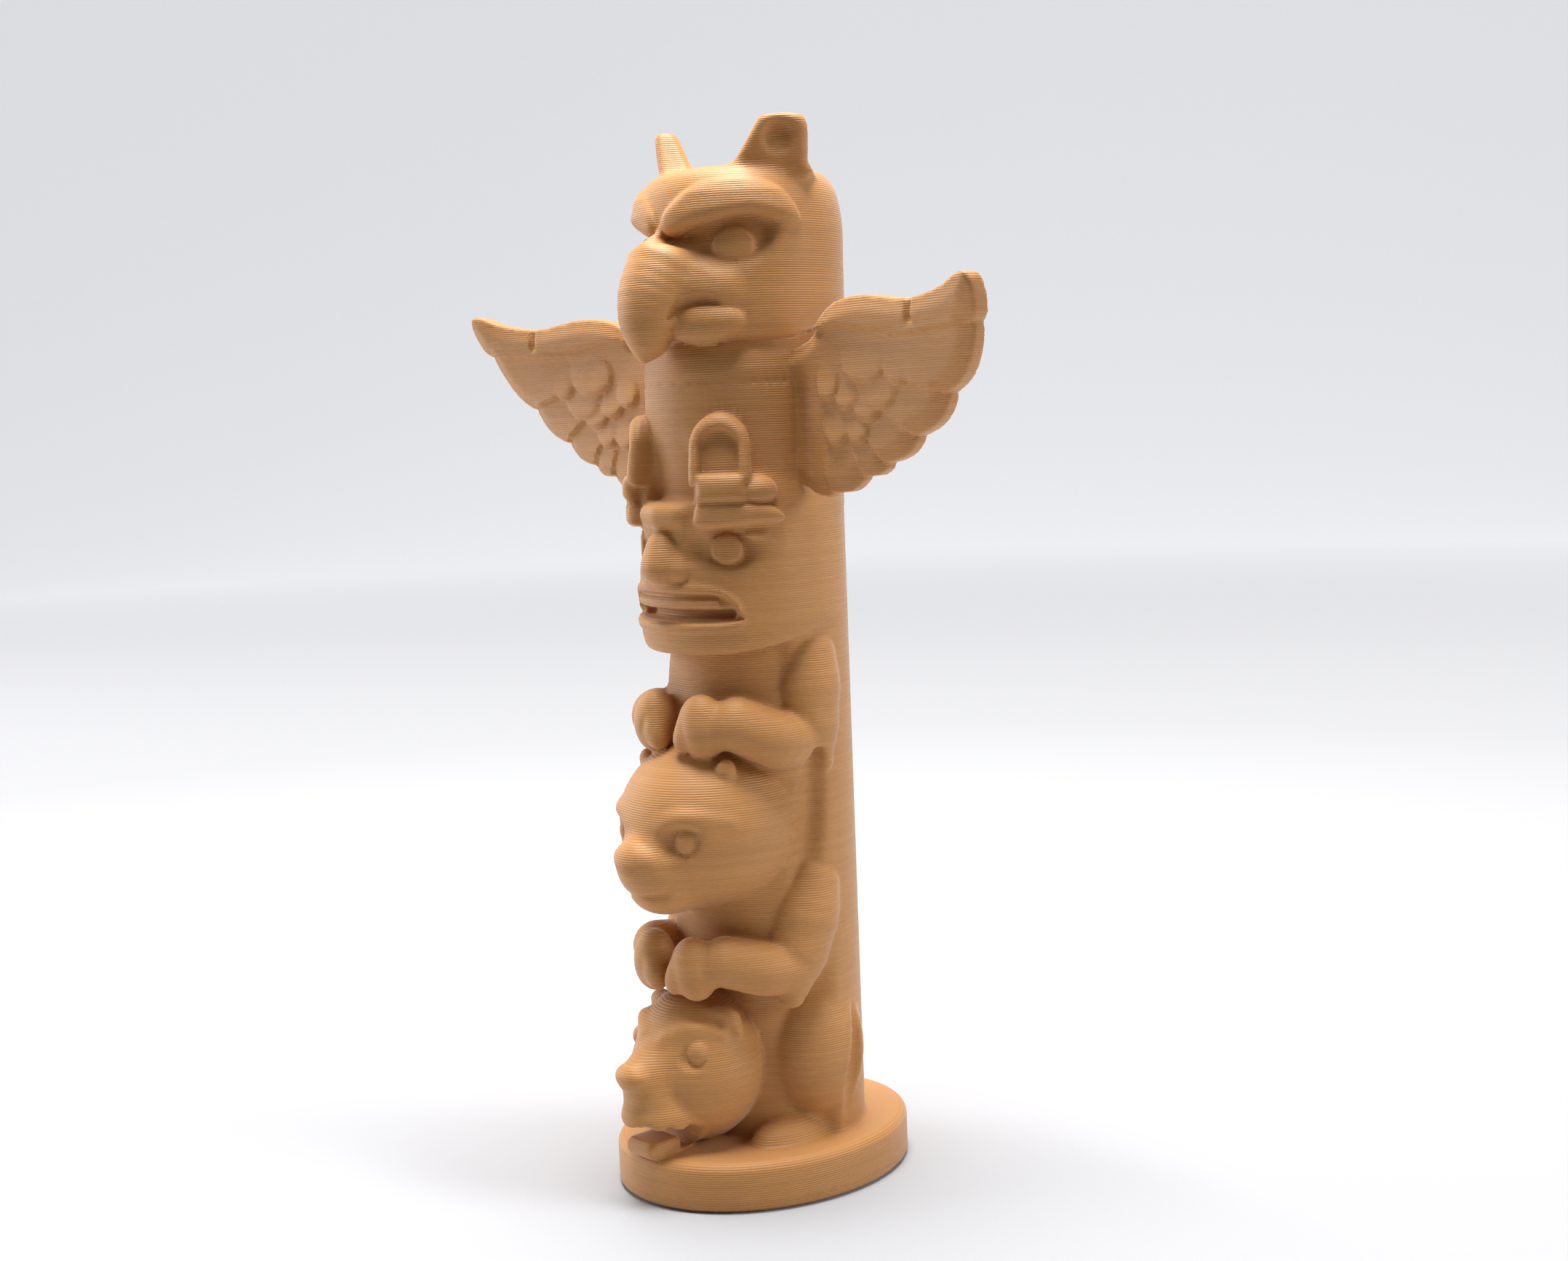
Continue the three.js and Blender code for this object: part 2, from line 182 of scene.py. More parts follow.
def lathe(profile, centre_y=0.0, stretch=1.0):
    """A turned form: distance of (radius, height) from an outline. stretch scales it along Y."""
    profile = np.asarray(profile, float)
    outline = np.vstack([[-9.0, profile[0][1]], profile, [-9.0, profile[-1][1]]])

    def distance(p):
        radius = np.hypot(p[:, 0], (p[:, 1] - centre_y) / stretch)
        return outline_distance(radius, p[:, 2], outline)
    r, z = profile[:, 0].max(), profile[:, 1]
    low = np.array([-r, centre_y - r * stretch, z.min()])
    return distance, low, np.array([r, centre_y + r * stretch, z.max()])


def carved(outline, radii, rounding, centre_y=0.0):
    """An outline (degrees round from the front, height) bent round the pole, thick between two radii.
    A radius may be a list of (height, radius) instead of a number."""
    outline = np.asarray(outline, float)
    profiles = [np.atleast_2d(r) if np.ndim(r) else np.array([[0.0, float(r)]]) for r in radii]
    inner, outer = profiles[0][:, 1].min(), profiles[1][:, 1].max()
    scale = np.radians(1.0) * (inner if outer > OPEN else outer)
    flat_outline = outline * [scale, 1.0]

    def distance(p):
        x, y = p[:, 0], p[:, 1] - centre_y
        flat = outline_distance(np.degrees(np.arctan2(x, -y)) * scale, p[:, 2], flat_outline)
        radius = np.hypot(x, y)
        low, high = (np.interp(p[:, 2], profile[:, 0], profile[:, 1]) for profile in profiles)
        return prism_distance(flat, np.maximum(low - radius, radius - high), rounding) * 0.95
    places = np.array([
        around(a, r, z, centre_y)
        for a in np.linspace(outline[:, 0].min(), outline[:, 0].max(), 9)
        for r in (inner, outer) for z in (outline[:, 1].min(), outline[:, 1].max())
    ])
    return distance, places.min(0), places.max(0)


def oval(angle, height, half_wide, half_high, radius):
    """An oval's outline in (degrees, height) on a round face of the given radius."""
    turn = np.linspace(0.0, 2 * np.pi, 24, endpoint=False)
    across = angle + np.degrees(half_wide / radius) * np.cos(turn)
    return np.stack([across, height + half_high * np.sin(turn)], 1)


def box(low, high, rounding):
    """A rounded box between two corners."""
    low, high = np.asarray(low, float), np.asarray(high, float)
    centre, half = (low + high) / 2, (high - low) / 2

    def distance(p):
        q = np.abs(p - centre) - half + rounding
        outside = np.sqrt((np.maximum(q, 0.0)**2).sum(1))
        return outside + np.minimum(q.max(1), 0.0) - rounding
    return distance, low, high


FORMS = []


def add(form, blend=0.3):
    FORMS.append(("add", blend, *form))


def cut(form, blend=0.3):
    FORMS.append(("cut", blend, *form))


def field(points):
    """Distance of points from the surface, below nought inside."""
    p = np.array(points, float)
    p[:, 0] = np.abs(p[:, 0])
    value = np.full(len(p), FAR)
    for action, blend, function, low, high in FORMS:
        near = np.flatnonzero(((p > low - REACH) & (p < high + REACH)).all(1))
        if near.size == 0:
            continue
        there, here = function(p[near]), value[near]
        if action == "add":
            value[near] = soft_min(here, there, blend)
        else:
            value[near] = -soft_min(-here, there, blend)
    return value


# ---- Base and pole ----

def base_and_pole():
    bevel = [[BASE_HALF_WIDTH - BASE_BEVEL, 0], [BASE_HALF_WIDTH, BASE_BEVEL]]
    edge = [
        [BASE_HALF_WIDTH - BASE_EDGE * (1 - np.sin(a)), BASE_HEIGHT - BASE_EDGE * (1 - np.cos(a))]
        for a in np.linspace(np.pi / 2, 0, 6)
    ]
    profile = [[0, 0], *bevel, *edge, [0, BASE_HEIGHT]]
    add(lathe(profile, BASE_Y, BASE_HALF_LENGTH / BASE_HALF_WIDTH), 0)
    side = POLE_RADIUS + 0.5
    add((pole_distance, np.array([-side, -side, POLE_FOOT]), np.array([side, side, COLLAR])), 0.5)


def pole_distance(p):
    """Distance from the pole, whose front is cut back from the base up to the middle figure's chin."""
    x, y, z = p.T
    below_chin = 1.0 - smoothstep(z, CHIN - 0.5, CHIN + 2.0)
    front = smoothstep(-y, -1.0, 2.5) * below_chin
    at_knees = 1.0 - smoothstep(z, KNEE_HEIGHT - 2, KNEE_HEIGHT + 2)
    cut_back = CHEST_RADIUS + (KNEE_RADIUS - CHEST_RADIUS) * at_knees
    radius = POLE_RADIUS + (cut_back - POLE_RADIUS) * front
    return np.maximum(np.hypot(x, y) - radius, np.maximum(POLE_FOOT - z, z - COLLAR))


# ---- Eagle ----

def eagle():
    head = curve([
        [8.2, JAW + 0.2], [9.0, JAW + 0.8], [9.3, 79.5], [9.35, 83.6], [9.38, 87.2], [9.05, 89.6],
        [8.55, 90.9], [7.7, 91.8], [6.0, 92.4], [3.0, 92.68], [0, 92.7],
    ], 50)
    head_distance, low, high = lathe([[0, JAW + 0.2], *head], HEAD_Y)

    def tilted(p):
        """The head, its jaw line rising towards the back."""
        q = p.copy()
        q[:, 2] -= 1.3 * smoothstep(q[:, 1], -3.0, 5.0) * (1.0 - smoothstep(q[:, 2], 78.0, 83.0))
        return head_distance(q) * 0.9
    add((tilted, low, high + [0, 0, 1.3]), 0.15)

    # The cheeks run forward into the beak, and a notch is cut under the beak.
    add(ellipsoid(around(24, 7.0, 81.2), [4.6, 3.0, 4.0], 24, -14), 0.3)
    beak = [(0, -8.6, 83.1), (0, -9.9, 81.2), (0, -10.6, 79.2), (0, -10.8, 77.6), (0, -11.3, 76.0)]
    add(limb(beak, [3.65, 3.25, 2.75, 2.0, 0.7]), 0.9)
    cut(limb([(0, -6.0, 75.7), (0, -8.2, 75.7), (0, -9.8, 75.3)], [1.2, 1.0, 0.6]), 0.2)

    # The eye's socket is deepest under the brow and next to the beak, and runs out on the cheek.
    socket = curve([
        (3, 86.2), (20, 88.2), (40, 88.8), (58, 88.6), (65, 87.9), (68, 86.8), (65, 85.3), (59, 84.0),
        (50, 83.1), (39, 83.1), (29, 84.0), (17, 85.4),
    ], 48, closed=True)
    floor = [(83.0, 9.5), (83.8, 9.05), (85.0, 8.5), (86.3, 8.1), (88.0, 8.0)]
    cut(carved(socket, (floor, 12), 0.9, HEAD_Y), 0.9)
    cut(limb([around(8, 9.3, 86.2), around(20, 8.8, 86.3), around(36, 8.8, 86.9)], [0.6, 1.1, 0.7]), 0.4)
    eye = oval(45, 85.3, 2.0, 1.5, 9.0)
    add(carved(eye, (6.5, [(83.8, 9.05), (85.3, 9.0), (86.8, 8.75)]), 0.45, HEAD_Y), 0.1)
    brow = curve([
        (0.5, 87.3), (4.8, 88.8), (14.8, 90.1), (23.4, 91.0), (38.6, 91.6), (53.0, 91.6), (65.0, 91.1),
        (75.0, 90.1), (82.5, 88.4), (84.5, 87.0), (76.4, 86.7), (66.3, 87.4), (54.5, 87.85), (40.5, 87.6),
        (23.1, 86.95), (7.1, 86.2),
    ], 60, closed=True)
    over = [(85.4, 9.75), (86.6, 9.9), (88.3, 9.85), (89.9, 9.5), (90.9, 8.95), (91.6, 8.3)]
    add(carved(brow, (6, over), 1.1, HEAD_Y), 0.12)

    # The mouth: a crease drawn up in the middle, with a full lip under it.
    add(ellipsoid(around(26, 8.3, 78.8), [3.9, 1.8, 2.0], 26), 0.12)
    mouth = np.array([
        (2.7, -11.1, 79.1), (3.1, -10.3, 79.9), (3.9, -9.7, 80.35), (4.9, -9.0, 80.55), (5.9, -8.3, 80.4),
        (6.8, -7.65, 79.9),
    ]) * [0.97, 0.97, 1.0]
    cut(limb(mouth, [0.15, 0.5, 0.6, 0.6, 0.5, 0.1], 20), 0.15)

    # The ears: thick plates that thin towards their tips and lean forward.
    ear = curve([
        [-1.0, 90.8], [0.1, 92.2], [1.2, 93.8], [1.9, 94.9], [2.7, 96.15], [3.4, 96.52], [4.6, 96.58],
        [5.8, 96.52], [6.6, 96.25], [6.95, 95.5], [6.95, 94.1], [6.85, 92.6], [6.7, 91.0],
    ], 52, closed=True)
    diagonal = np.sqrt(0.5)

    def ear_distance(p):
        s = (p[:, 0] + p[:, 1]) * diagonal
        w = (p[:, 0] - p[:, 1]) * diagonal
        inner = 3.7 + 0.42 * np.maximum(p[:, 2] - 92.3, 0.0)
        outer = 7.42 - 0.06 * np.maximum(96.5 - p[:, 2], 0.0)**1.6
        flat = outline_distance(s, p[:, 2], ear)
        return prism_distance(flat, np.maximum(inner - w, w - outer), 0.7) * 0.85
    add((ear_distance, np.array([2.0, -5.8, 90.8]), np.array([10.4, 3.2, 96.85])), 0.7)
    cut(ellipsoid((8.15, -1.9, 94.6), [1.0, 0.35, 1.1], 45, 8), 0.9)

    # The breast with the neck groove, and the neck that draws in under the jaw.
    breast = [
        [0, 62], [8.95, 62], [8.97, 73.2], [8.8, 73.4], [8.97, 73.65], [8.93, 74.6], [8.75, 75.6],
        [8.4, 76.5], [7.8, 77.3], [6.8, 78.5], [0, 78.5],
    ]
    add(lathe(breast), 0.05)


# ---- Wings ----

# The wing leans forward by sweep degrees at the height rise above root_bottom. half is half its thickness.
WING = {"root_y": -1.3, "root_bottom": 64.4, "rise": 16.6, "half": 1.0, "sweep": 10.0}
WING_OUTLINE = np.array([
    *curve([
        (6.0, 75.6), (9.6, 76.3), (11.7, 77.2), (13.5, 78.7), (15.9, 79.8), (20, 80.1), (25.6, 79.5),
        (30.2, 80.1), (32.6, 80.9), (34.0, 81.05), (34.5, 80.4),
    ], 44),
    *curve([(34.45, 79.5), (33.9, 77.9), (33.0, 77.1)], 5),
    *curve([(33.0, 76.7), (32.3, 75.2), (31.0, 73.4), (29.6, 72.3), (28.3, 71.7)], 8),
    *curve([(28.3, 71.3), (27.4, 70.0), (25.9, 68.9), (23.9, 68.2)], 7),
    *curve([(23.9, 67.9), (22.9, 66.9), (21.6, 66.3), (20.1, 66.0)], 6),
    *curve([(20.0, 65.6), (19.0, 65.0), (17.3, 64.9)], 5),
    *curve([(17.0, 64.5), (15.6, 63.6), (13.2, 63.5)], 5),
    *curve([(12.9, 63.1), (11.0, 63.3), (9.0, 64.1), (6.0, 64.6)], 6),
])
FEATHER_HUB = (12.0, 76.0)
FEATHER_EDGES = [14.0, 3.3, -14.6, -33.0, -51.0, -64.0, -85.0, -110.0]
# Coverts: (along, up, half width, half height), the lower rows first.
COVERTS = [
    (14.6, 69.3, 1.6, 1.75), (17.3, 69.4, 1.45, 1.65), (16.3, 71.9, 1.5, 1.3), (18.8, 71.3, 1.8, 1.7),
    (20.4, 72.4, 2.4, 1.9), (13.9, 73.0, 1.4, 1.5), (23.1, 74.5, 1.65, 1.95), (18.8, 74.8, 2.9, 2.0),
]


def wing_coordinates(p):
    """Places in the flat wing: along it, up it, and how far behind its middle plane."""
    share = np.maximum(0.0, (p[:, 2] - WING["root_bottom"]) / WING["rise"])
    angle = np.radians(WING["sweep"]) * share**1.5
    dx, dy = p[:, 0] - POLE_RADIUS, p[:, 1] - WING["root_y"]
    bend = dx > 0
    along = np.where(bend, dx * np.cos(angle) - dy * np.sin(angle), dx)
    behind = np.where(bend, dx * np.sin(angle) + dy * np.cos(angle), dy)
    return along + POLE_RADIUS, p[:, 2], behind


def wing_relief(s, z):
    """Height of the carving on the front of the wing: feathers that stand proud at their lower edges,
    a raised band along the top, and rounded coverts near the root."""
    angle = np.degrees(np.arctan2(z - FEATHER_HUB[1], s - FEATHER_HUB[0]))
    height = np.zeros_like(s)
    for upper, lower in zip(FEATHER_EDGES[:-1], FEATHER_EDGES[1:]):
        share = (upper - angle) / (upper - lower)
        step = 0.12 + 0.42 * np.clip(share, 0, 1)**1.3
        height = np.where((share >= 0) & (share < 1), step, height)
    height *= smoothstep(np.hypot(s - FEATHER_HUB[0], z - FEATHER_HUB[1]), 7.0, 14.0)
    height -= 0.6 * (1 - smoothstep(s, 9.3, 12.0)) * (1 - smoothstep(z, 72.0, 75.0))
    band_edge = 77.5 + 0.25 * np.sin(s * 0.5)
    band = smoothstep(z, band_edge - 0.15, band_edge + 0.15)
    height = height * (1 - band) + 0.5 * band
    height -= 0.45 * band * (1 - smoothstep(np.abs(s - 26.1), 0.1, 0.45)) * (1 - smoothstep(z, 79.3, 79.9))
    for cs, cz, half_wide, half_high in COVERTS:
        distance = np.hypot((s - cs) / half_wide, (z - cz) / half_high)
        lobe = 0.62 * np.clip(0.5 - 0.5 * (z - cz) / half_high, 0, 1)**1.2
        height = np.where(distance < 1.0, np.maximum(height, lobe * (1 - 0.3 * distance**6)), height)
    return height


def wing_distance(p):
    s, z, behind = wing_coordinates(p)
    flat = outline_distance(s, z, WING_OUTLINE)
    rim = 0.45 * (1 - smoothstep(-flat, 0.0, 1.6))
    front = -behind - WING["half"] - wing_relief(s, z) + 0.25 + rim
    across = np.maximum(front, behind - WING["half"] + 0.4 * rim)
    return prism_distance(flat, across, 0.25) * 0.8


def wings():
    add((wing_distance, np.array([6.0, -8.5, 62.8]), np.array([34.6, 1.4, 81.3])), 0.15)


# ---- Middle figure: headdress, face and arms ----

ARCH_HALF = 2.8             # half an arch's width
ARCH_RADIUS = 9.4           # of the round face that the arches stand on
ARCH_TURN = 39.5            # degrees from the front to the middle of an arch


def headdress():
    half_wide = np.degrees(ARCH_HALF / ARCH_RADIUS)
    turn = np.linspace(np.pi, 0.0, 14)

    def arch(share, low, top):
        """An arch's outline between two heights, at a share of the full width, with a round top."""
        wide = half_wide * share
        bow = top - ARCH_HALF * share * (1 - np.sin(turn))
        round_top = np.stack([ARCH_TURN + wide * np.cos(turn), bow], 1)
        return np.vstack([[ARCH_TURN + wide, low], [ARCH_TURN - wide, low], round_top])
    lean = [(64.5, 10.3), (66.0, 10.25), (69.0, 9.8), (70.8, 9.4)]
    hollow = [(64.5, 9.55), (66.0, 9.45), (69.0, 9.05), (70.8, 8.8)]
    niche = [(-22, 63.0), (22, 63.0), (21, 67.0), (14, 69.8), (-14, 69.8), (-21, 67.0)]
    cut(carved(niche, ([(63, 7.1), (66.5, 7.5), (69.8, 8.3)], 12), 0.8, FACE_Y), 0.7)
    add(carved(arch(1.0, 64.4, 70.8), (6, lean), 0.9, FACE_Y), 0.12)
    cut(carved(arch(0.62, 65.3, 69.4), (hollow, 12), 0.3, FACE_Y), 0.45)
    add(carved([(27, 62.9), (53.5, 62.9), (53.5, 65.4), (27, 65.4)], (7, 10.55), 0.95, FACE_Y), 0.3)
    add(ellipsoid(around(59, 8.9, 63.9, FACE_Y), [1.9, 1.45, 1.35], 59), 0.12)


def face():
    shell = curve([
        [7.2, CHIN - 0.35], [8.75, CHIN - 0.1], [9.25, CHIN + 1.2], [9.3, CHIN + 3.0], [9.25, 56],
        [9.2, 60], [9.1, 63], [8.6, 65.2], [7.8, 67],
    ], 30)
    shell_distance, low, high = lathe([[0, CHIN - 0.3], *shell, [0, 67.1]], FACE_Y)

    def lifted(p):
        """The face shell, its lower edge rising from the chin back to the jaw."""
        q = p.copy()
        lift = 1.7 * smoothstep(q[:, 1], -10, 3)
        q[:, 2] -= lift * (1 - smoothstep(q[:, 2], CHIN + 1.5, CHIN + 6))
        return shell_distance(q) * 0.9
    under_chin = [(-70, 45.5), (70, 45.5), (70, 51), (-70, 51)]
    cut(carved(under_chin, ([(45.5, 8.2), (49.4, 7.6)], 12), 0.8), 0.8)
    add((lifted, low, high + [0, 0, 1.7]), 0.15)

    # The eyes in shallow sockets, under brows with a lower bridge between them.
    cut(ellipsoid(around(48, 10.2, 58.9, FACE_Y), [4.4, 1.45, 2.1], 48, -3), 0.3)
    cut(carved(oval(42.5, 58.9, 2.0, 1.75, 9.0), (8.45, 12), 0.5, FACE_Y), 0.7)
    cut(ellipsoid(around(25, 9.9, 58.9, FACE_Y), [1.7, 1.5, 1.8], 25), 0.5)
    under_brow = [around(27, 9.9, 60.4, FACE_Y), around(38, 9.3, 60.5, FACE_Y), around(52, 9.4, 60.6, FACE_Y)]
    cut(limb(under_brow, [0.5, 0.8, 0.3]), 0.4)
    add(carved(oval(41.5, 58.8, 1.5, 1.35, 9.0), (7, 9.05), 0.4, FACE_Y), 0.12)
    lid = [around(54, 9.0, 60.0, FACE_Y), around(62, 9.1, 59.9, FACE_Y), around(69, 9.1, 58.8, FACE_Y)]
    add(limb(lid, [0.3, 0.4, 0.1]), 0.25)
    brow = curve([
        (25, 60.95), (25, 62.0), (28, 63.0), (40, 63.1), (53, 62.95), (66, 62.6), (73.5, 61.5), (70, 61.1),
        (58, 61.05), (47, 60.85), (36, 60.7),
    ], 50, closed=True)
    add(carved(brow, (7, 10.3), 0.75, FACE_Y), 0.35)
    add(limb([(0, -9.75, 61.9), (1.7, -9.5, 61.9)], [1.55, 1.4]), 0.15)

    # The nose: a ridge that spreads to its wings.
    add(limb([(0, -9.4, 60.6), (0, -10.0, 58.9), (0, -10.3, 57.4)], [1.1, 1.7, 2.0]), 0.12)
    add(limb([(1.2, -9.9, 58.6), (1.8, -9.8, 57.1)], [0.8, 1.2]), 0.35)
    cut(carved([(-24, 54.6), (24, 54.6), (24, 55.8), (-24, 55.8)], (9.4, 14), 0.2, FACE_Y), 0.2)

    # The mouth: a raised rim round a recess, a bar of teeth and the open slot below it.
    rim = curve([
        (-20, 55.9), (0, 55.95), (20, 55.9), (36, 55.5), (46, 54.4), (50, 52.9), (47, 51.7), (25, 51.4),
        (0, 51.3), (-25, 51.4), (-47, 51.7), (-50, 52.9), (-46, 54.4), (-36, 55.5),
    ], 70, closed=True)
    add(carved(rim, (7, 9.6), 0.5, FACE_Y), 0.3)
    recess = curve([
        (-20, 55.0), (20, 55.0), (37, 54.8), (43, 54.2), (47, 53.2), (47, 52.5), (25, 52.25),
        (-25, 52.25), (-47, 52.5), (-47, 53.2), (-43, 54.2), (-37, 54.8),
    ], 60, closed=True)
    cut(carved(recess, (9.0, 12), 0.3, FACE_Y), 0.2)
    teeth = [(-38, 53.6), (38, 53.6), (36, 54.55), (-36, 54.55)]
    add(carved(teeth, (7, 9.45), 0.4, FACE_Y), 0.1)
    slot = [(-44, 52.55), (44, 52.55), (46, 53.0), (44, 53.5), (-44, 53.5), (-46, 53.0)]
    cut(carved(slot, (7.8, 12), 0.3, FACE_Y), 0.1)


def paw(centre, half, facing):
    """A closed paw: the back of the hand, a thumb beside it and a crease between them."""
    x, y, z = centre
    add(ellipsoid(centre, half, facing, -8), 0.7)
    add(ellipsoid((x - 1.2, y - 0.9, z - 0.6), [1.2, 1.1, 1.9], facing, 24), 0.5)
    crease = [(x - 0.9, y - 2.2, z + 1.9), (x - 0.6, y - 2.35, z), (x + 0.3, y - 2.2, z - 2.4)]
    cut(limb(crease, [0.15, 0.4, 0.15]), 0.35)


def figure_arms():
    elbow = around(92, 8.3, 39.1)
    upper_arm = [around(92, 6.8, 48.8), around(90, 6.7, 46.0), around(88, 7.2, 42.4), elbow]
    add(limb(upper_arm, [2.7, 3.4, 3.0, 1.0]), 0.15)
    forearm = [elbow, around(78, 7.6, 40.9), around(60, 8.6, 41.6), around(38, 9.0, 43.1)]
    add(limb(forearm, [1.0, 2.4, 2.6, 2.5], 18), 0.5)
    paw((3.3, -9.2, 43.0), [2.3, 2.0, 2.9], 20)


# ---- Bear ----

def bear():
    # The skull, with a groove beside it where the pole is full again.
    add(ellipsoid((0, -5.7, 33.7), [8.4, 8.9, 7.9]), 0.2)
    cut(limb([around(83, 9.0, 40), around(81, 8.7, 34), around(75, 8.7, 28.2)], [0.7, 1.0, 0.9]), 1.0)
    add(limb([(0, -8.5, 31.0), (0, -12.0, 30.7), (0, -14.3, 31.2)], [5.0, 3.9, 2.3]), 0.7)
    add(ellipsoid((0, -14.85, 31.6), [2.6, 1.5, 1.4]), 0.4)
    add(ellipsoid((0, -11.4, 28.1), [3.1, 3.3, 2.1]), 0.7)
    cut(ellipsoid((4.6, -13.45, 33.3), [2.4, 1.15, 1.8], 30), 0.4)
    add(ellipsoid((4.0, -12.2, 33.3), [1.1, 1.0, 1.3], 30), 0.1)
    add(limb([(1.3, -13.5, 34.5), (4.3, -12.6, 35.4), (7.2, -9.6, 34.9)], [0.5, 0.72, 0.2]), 0.7)
    cut(limb([(1.0, -15.1, 28.2), (2.6, -14.2, 28.25), (4.5, -12.5, 28.8)], [0.25, 0.6, 0.15]), 0.15)
    add(ellipsoid((5.5, -8.6, 39.2), [0.9, 0.8, 1.0], 30), 0.3)

    elbow = around(64, 8.7, 18.1)
    upper_arm = [around(88, 6.7, 27.7), around(80, 6.8, 25.0), around(71, 7.3, 21.7), elbow]
    add(limb(upper_arm, [2.8, 3.4, 3.0, 1.0]), 0.15)
    forearm = [elbow, around(62, 8.1, 20.2), around(46, 9.0, 20.9), around(28, 10.2, 21.8)]
    add(limb(forearm, [1.0, 2.3, 2.45, 2.3], 18), 0.5)
    paw((2.8, -11.0, 21.2), [2.2, 1.9, 2.9], 16)

    # The thigh, with a flute behind it, and the foot.
    add(ellipsoid((5.9, 0.7, 12), [4, 4.7, 6.9]), 0.3)
    cut(limb([around(101, 10.1, 6.3), around(102, 9.95, 10), around(109, 9.7, 16.0)], [1.3, 1.15, 0.7]), 0.25)
    add(ellipsoid((6.2, -2.9, 4.7), [2.4, 4.5, 1.8]), 0.8)


# ---- Small head between the bear's knees ----

def small_head():
    add(ellipsoid((0, -8.7, 11.6), [6.1, 6.1, 7.1]), 0.2)
    add(limb([(0, -11, 12.2), (0, -14.2, 11.6), (0, -16.0, 11.7)], [3.7, 2.6, 1.5]), 0.8)
    add(ellipsoid((0, -16.4, 12.0), [1.9, 1.3, 1.2]), 0.4)
    add(ellipsoid((0, -14.4, 10.1), [2.7, 2.4, 2.4]), 0.5)
    add(ellipsoid((0, -12.5, 7.8), [3.7, 4.6, 3.5]), 0.5)
    # The open mouth, ragged along its upper edge, with the tongue in it.
    ragged = curve([
        (-20, 8.3), (-18.3, 8.6), (-17.4, 8.25), (-16.4, 8.75), (-15.6, 8.3), (-14.8, 8.6), (-13.9, 8.15),
        (-12.9, 8.5),
    ], 30)
    ragged[:, 1] -= 1.0
    mouth = np.vstack([ragged, [(-11.4, 6.9), (-11.4, 4.7), (-17.2, 4.7), (-17.6, 5.6), (-20, 5.6)]])

    def mouth_distance(p):
        return prism_distance(outline_distance(p[:, 1], p[:, 2], mouth), np.abs(p[:, 0]) - 4.0, 0.2)
    cut((mouth_distance, np.array([-4.0, -20, 4.7]), np.array([4.0, -11.4, 8.8])), 0.15)
    add(box([-2.0, -16.2, 4.4], [2.0, -12.5, 6.0], 0.7), 0.15)
    # An eye with a ring round it.
    place = np.array([4.3, -12.6, 14.0])
    cut(ellipsoid(place + [0.4, -0.6, 0.1], [1.75, 1.3, 1.7], 35), 0.35)
    add(ellipsoid(place + [-0.45, 0.75, 0], [1.1, 1.05, 1.1], 35), 0.1)
    add(limb([(1.4, -13.5, 15.1), (3.4, -12.1, 16.0), (5.2, -10.1, 15.5)], [0.3, 0.5, 0.2]), 1.0)
    ear = [(3.4, -10.2, 17.0), (4.8, -8.9, 16.6), (5.6, -8.3, 15.2)]
    add(limb(ear, [0.5, 1.0, 0.3]), 0.6)


base_and_pole()
eagle()
wings()
face()
headdress()
figure_arms()
bear()
small_head()


# ---- The surface ----

def grid_values(low, high):
    """The field on the grid's nodes, worked out only in the blocks that the surface can pass through."""
    counts = np.ceil((high - low) / CELL / BLOCK).astype(int) * BLOCK
    blocks = np.stack(np.meshgrid(*[np.arange(c // BLOCK) for c in counts], indexing="ij"), -1).reshape(-1, 3)
    centres = low + (blocks * BLOCK + BLOCK / 2) * CELL
    coarse = field(centres)
    values = coarse.reshape(counts // BLOCK)
    for axis in range(3):
        values = np.repeat(values, BLOCK, axis)
    near = blocks[np.abs(coarse) < BLOCK * CELL * 1.5]
    inner = np.stack(np.meshgrid(*[np.arange(BLOCK)] * 3, indexing="ij"), -1).reshape(-1, 3)
    nodes = (near[:, None] * BLOCK + inner).reshape(-1, 3)
    values[tuple(nodes.T)] = field(low + (nodes + 0.5) * CELL)
    return values


def draw_surface(values, origin):
    """Vertices at the mean of the crossings in each cell, and a quad across each edge that crosses."""
    inside = values < 0
    nx, ny, nz = (count - 1 for count in inside.shape)
    total = sum(
        inside[i:nx + i, j:ny + j, k:nz + k].astype(np.int8) for i in (0, 1) for j in (0, 1) for k in (0, 1)
    )
    active = (total > 0) & (total < 8)
    cells = np.argwhere(active)
    index = np.full(active.shape, -1)
    index[active] = np.arange(len(cells))
    centre, crossings = np.zeros((len(cells), 3)), np.zeros(len(cells))
    quads = []
    for axis in range(3):
        step = np.eye(3, dtype=int)[axis]
        u, v = (axis + 1) % 3, (axis + 2) % 3
        for du in (0, 1):
            for dv in (0, 1):
                offset = np.zeros(3, int)
                offset[u], offset[v] = du, dv
                a = values[tuple((cells + offset).T)]
                b = values[tuple((cells + offset + step).T)]
                crosses = (a < 0) != (b < 0)
                share = np.where(crosses, a / np.where(crosses, a - b, 1.0), 0.0)
                centre += crosses[:, None] * offset + share[:, None] * step
                crossings += crosses
        front = np.take(inside, np.arange(inside.shape[axis] - 1), axis)
        back = np.take(inside, np.arange(1, inside.shape[axis]), axis)
        edges = np.argwhere(front != back)
        corners = []
        for du, dv in ((1, 1), (0, 1), (0, 0), (1, 0)):
            place = edges.copy()
            place[:, u] -= du
            place[:, v] -= dv
            corners.append(index[tuple(place.T)])
        quad = np.stack(corners, 1)
        outward = front[tuple(edges.T)]
        quads.append(np.where(outward[:, None], quad, quad[:, ::-1]))
    vertices = origin + (cells + 0.5 + centre / crossings[:, None]) * CELL
    return vertices, np.vstack(quads)


